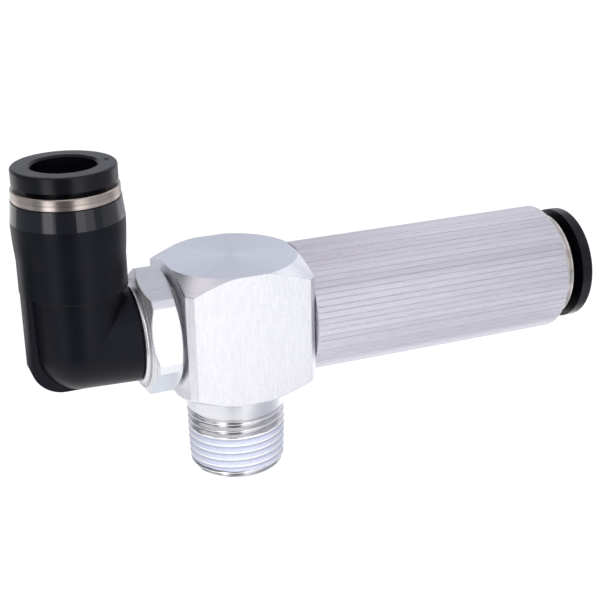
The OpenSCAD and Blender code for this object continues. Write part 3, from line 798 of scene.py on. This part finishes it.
put("hexagon_stem", tidy(hexagon.mesh("hexagon")), "ejector",
    [drawn_hex, turned_hex], ["hex_stem"], hexagon_finish)


# ---- ribbed tube ----

_, tube_end = box_mm("exhaust_tube")
TUBE_LEFT, TUBE_RIGHT = HALF_BLOCK + 0.4, tube_end.x
TUBE_EDGE = HALF_BLOCK + 0.2
TUBE_BEVEL, LEAST_BEVEL = 0.35, 0.05
CREST_RADIUS = tube_end.y
RIB_DEPTH = 0.16
SEAT, SEAT_BEVEL = 9.0, 0.2
# where a rib's points lie across it, and where its groove is deepest, in shares of a rib
GROOVE = 0.47
RIB_SPOTS = (-GROOVE, -0.41, -0.36, 0, 0.36, 0.41, GROOVE)

port_rim = max(off_main(p) for p in points_mm("exhaust_tube")
               if p.x > TUBE_RIGHT - TINY and off_main(p) < CREST_RADIUS - 1)


def rib_profile(angle):
    """How far under the crests the ribbed surface lies there."""
    place = angle / math.tau * RIBS
    rib = round(place)
    spot = abs(place - rib)
    worn = 0.02 * (1 + math.sin(rib * 2.4) * math.cos(rib * 5.1))
    crest = 0.385 + 0.025 * math.sin(rib * 3.7)
    return max(worn, RIB_DEPTH * min(1, max(0, (spot - crest) / (GROOVE - crest))))


def tube_section(angle):
    low = rib_profile(angle)
    radius = CREST_RADIUS - low
    left = [(TUBE_LEFT, SEAT), (TUBE_EDGE, SEAT + SEAT_BEVEL), (TUBE_EDGE, radius - EDGE)]
    left += [(TUBE_EDGE + drop, radius - inset) for inset, drop in edge_arc(EDGE, 3)]
    bevel = max(LEAST_BEVEL, TUBE_BEVEL - low)
    right = [(TUBE_RIGHT - drop, radius - inset) for inset, drop in edge_arc(bevel)][::-1]
    return left + right + [(TUBE_RIGHT, radius - bevel), (TUBE_RIGHT, port_rim)]


def inside_tube(point):
    return off_main(point) < CREST_RADIUS - 1


rib_angles = [(rib + spot) / RIBS * math.tau for rib in range(RIBS) for spot in RIB_SPOTS]
tube = Skin().turn(round_main, rib_angles, tube_section).keep("exhaust_tube", inside_tube)
put("ribbed_tube", tidy(tube.mesh("tube"), 35), "ejector", [tube_alu],
    ["exhaust_tube"])


# ---- raised dot on the supply release ring ----

DOT_X = SUPPLY_X + 6.8
RING_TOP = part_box("supply_release_ring")[1].z / MM


def round_dot(angle, height, radius):
    """A point round the dot's axis. The height starts at the ring's face."""
    return Vector((DOT_X + radius * math.cos(angle), radius * math.sin(angle), RING_TOP + height))


dot_section = [(-0.05, 0.42), (0, 0.42), (0.05, 0.38), (0.09, 0.30), (0.11, 0.18), (0.115, 0)]
dot = Skin().turn(round_dot, evenly(32), dot_section).mesh("dot")
put("ring_dot", tidy(dot, 60), "supply_release", [release_resin])


# ---- floor, background and lamps ----

def aimed(thing, place, target, front):
    """Puts the thing in the scene at place, with its front axis towards target."""
    thing.location = place
    thing.rotation_mode = "QUATERNION"
    thing.rotation_quaternion = (target - place).to_track_quat(front, "Y")
    bpy.context.scene.collection.objects.link(thing)
    return thing


def rectangle(name, place, target, width, height, material):
    """A flat sheet of the stage, that faces target."""
    data = bpy.data.meshes.new(name)
    w, h = width / 2, height / 2
    data.from_pydata([(-w, -h, 0), (w, -h, 0), (w, h, 0), (-w, h, 0)], [], [(0, 1, 2, 3)])
    data.materials.append(material)
    sheet = aimed(bpy.data.objects.new(name, data), place, target, "Z")
    return sheet


def from_middle(azimuth, elevation, distance):
    """A place that many metres from the object's middle, in a direction given in degrees."""
    turn, lift = math.radians(azimuth), math.radians(elevation)
    flat = distance * math.cos(lift)
    up = distance * math.sin(lift)
    return MIDDLE + Vector((flat * math.cos(turn), flat * math.sin(turn), up))


def glowing_card(name, place, target, width, height, shade, strength=1.0):
    """A glowing card that shows only in the metal's reflections."""
    finish = Finish(name, Base_Color=grey(0), Emission_Color=colour(*shade))
    finish.shader.inputs["Specular IOR Level"].default_value = 0.0
    finish.shader.inputs["Emission Strength"].default_value = strength
    card = rectangle(name, place, target, width, height, finish.material)
    card.visible_camera = card.visible_diffuse = False
    card.visible_transmission = card.visible_shadow = False


def reflected_card(name, azimuth, elevation, distance, width, height, shade, strength=1.0):
    """A glowing card that faces the object's middle. Degrees and metres."""
    place = from_middle(azimuth, elevation, distance)
    glowing_card(name, place, MIDDLE, width, height, shade, strength)


def flat_card(name, spot, width, depth, shade, strength=1.0):
    """A level glowing card under or over part of the object. Millimetres."""
    place = Vector(spot) * MM
    glowing_card(name, place, place + UP, width * MM, depth * MM, shade, strength)


def upright_card(name, spot, target, width, height, shade):
    """A glowing card beside or behind part of the object. Spot and sizes in millimetres."""
    glowing_card(name, Vector(spot) * MM, target, width * MM, height * MM, shade)


def seen_directly(finish):
    """1 where a ray comes from the camera, a reflection or through glass."""
    rays = finish.add("ShaderNodeLightPath").socket.node.outputs
    camera, glossy, through = (Amount(finish, rays[n]) for n in (
        "Is Camera Ray", "Is Glossy Ray", "Is Transmission Ray"))
    return camera.work("MAXIMUM", glossy).work("MAXIMUM", through)


def white_floor(depth, shade):
    """A floor that far under the object, as bright as shade to the eye and in reflections."""
    place = Vector((0, 0, cad_box[0].z - depth))
    finish = Finish("floor", Base_Color=grey(0.25), Roughness=1.0)
    finish.shader.inputs["Specular IOR Level"].default_value = 0.0
    glow = seen_directly(finish) * shade
    finish.drive(Emission_Color=glow.choose(grey(0), grey(1)))
    finish.shader.inputs["Emission Strength"].default_value = 1.0
    rectangle("floor", place, place + UP, FLOOR_SIZE, FLOOR_SIZE, finish.material)


def white_world(ambient):
    """A world that is white to the camera and lights the object at the strength ambient."""
    world = bpy.data.worlds.new("world")
    world.use_nodes = True
    bpy.context.scene.world = world
    finish = Finish("world", world.node_tree)
    background = world.node_tree.nodes["Background"]
    background.inputs["Color"].default_value = grey(1)
    rays = finish.add("ShaderNodeLightPath").socket.node.outputs
    camera = Amount(finish, rays["Is Camera Ray"])
    finish.feed(background.inputs["Strength"], camera * (1 - ambient) + ambient)


def soft_lamp(name, azimuth, elevation, distance, width, height, watts, tint=(1, 1, 1)):
    """A lamp that lights the object and doesn't show in its metal. Degrees and metres."""
    data = bpy.data.lights.new(name, "AREA")
    data.shape = "RECTANGLE"
    data.size, data.size_y = width, height
    data.energy = watts
    data.color = tint
    lamp = aimed(bpy.data.objects.new(name, data), from_middle(azimuth, elevation, distance),
                 MIDDLE, "-Z")
    lamp.visible_camera = lamp.visible_glossy = False


bpy.context.scene.view_settings.view_transform = "Standard"
MIDDLE = Vector((0, 0, MAIN_Z))
ELBOW = Vector((SUPPLY_X * MM, 0, MAIN_Z))
UP = Vector((0, 0, 1))
FLOOR_SIZE = 6

white_floor(depth=0.10, shade=0.87)
white_world(ambient=0.5)

soft_lamp("overhead", -90, 75, 0.9, 0.8, 0.8, 4, (1.0, 0.97, 0.99))
soft_lamp("front_left", -145, 20, 0.8, 0.3, 0.6, 3.6)
soft_lamp("front_right", -75, 15, 0.8, 0.4, 0.6, 3.0)

reflected_card("back_sides", 68, 10, 0.50, 1.7, 0.50, (0.68, 0.69, 0.74))
reflected_card("back", 68, 14, 0.42, 0.24, 0.36, (0.62, 0.64, 0.71))
reflected_card("back_low", 68, -10, 0.30, 0.22, 0.10, (0.50, 0.51, 0.57))
reflected_card("back_left", 112, 40, 0.40, 0.28, 0.22, (0.22, 0.22, 0.23))
reflected_card("back_up", 50, 52, 0.45, 0.6, 0.24, (0.55, 0.56, 0.61))
reflected_card("above", -90, 86, 0.6, 0.45, 0.45, (0.70, 0.67, 0.70))
reflected_card("above_left", 114, 68, 0.38, 0.14, 0.12, (1.0, 0.92, 0.95), 1.1)
reflected_card("left", 172, 8, 0.45, 0.60, 0.45, (0.27, 0.29, 0.33))
reflected_card("left_low", -160, -18, 0.30, 0.17, 0.14, (0.30, 0.32, 0.35))
reflected_card("left_down", -177, -24, 0.12, 0.05, 0.04, (1.0, 0.96, 0.97), 1.2)
reflected_card("right", -8, 4, 0.30, 0.30, 0.36, (0.55, 0.56, 0.60))
reflected_card("front_up", -58, 55, 0.50, 0.50, 0.36, (0.86, 0.85, 0.90))
reflected_card("front_far_right", -38, -8, 0.34, 0.18, 0.12, (0.30, 0.31, 0.34))
reflected_card("front_right", -62, 18, 0.30, 0.12, 0.18, (1, 1, 1), 1.25)
reflected_card("front_low", -50, -20, 0.30, 0.14, 0.16, (0.65, 0.67, 0.73))
reflected_card("behind_camera", -113, 5, 0.18, 0.125, 0.26, (0.14, 0.14, 0.16))
reflected_card("strip_left", -145, 12, 0.20, 0.06, 0.21, (1, 1, 1), 2.2)
reflected_card("strip_right", -87, 5, 0.16, 0.05, 0.26, (1, 1, 1), 1.6)

flat_card("under_hexagon", (9, 22, -50), 36, 30, (0.73, 0.77, 0.83))
flat_card("under_tube_front", (68, -54, -50), 100, 112, (0.64, 0.64, 0.69))
flat_card("under_tube_back", (70, 60, -35), 110, 70, (1, 1, 1), 1.8)
flat_card("under_camera", (32, -175, -50), 86, 170, (1.0, 0.99, 1.0), 1.35)
flat_card("over_tube", (82, 38, 110), 66, 80, (0.98, 0.96, 1.0), 1.08)

far_in_front = Vector((90, -925, 74)) * MM
upright_card("behind_tube", (90, 75, 74), far_in_front, 70, 50, (0.95, 0.94, 0.99))
upright_card("left_of_elbow", (-80, 24, 1), ELBOW, 45, 34, (0.16, 0.17, 0.20))
upright_card("behind_elbow", (-58, 48, -14), ELBOW, 26, 24, (0.22, 0.24, 0.29))
upright_card("behind_block", (-40, 90, -12), MIDDLE, 40, 40, (0.48, 0.47, 0.54))
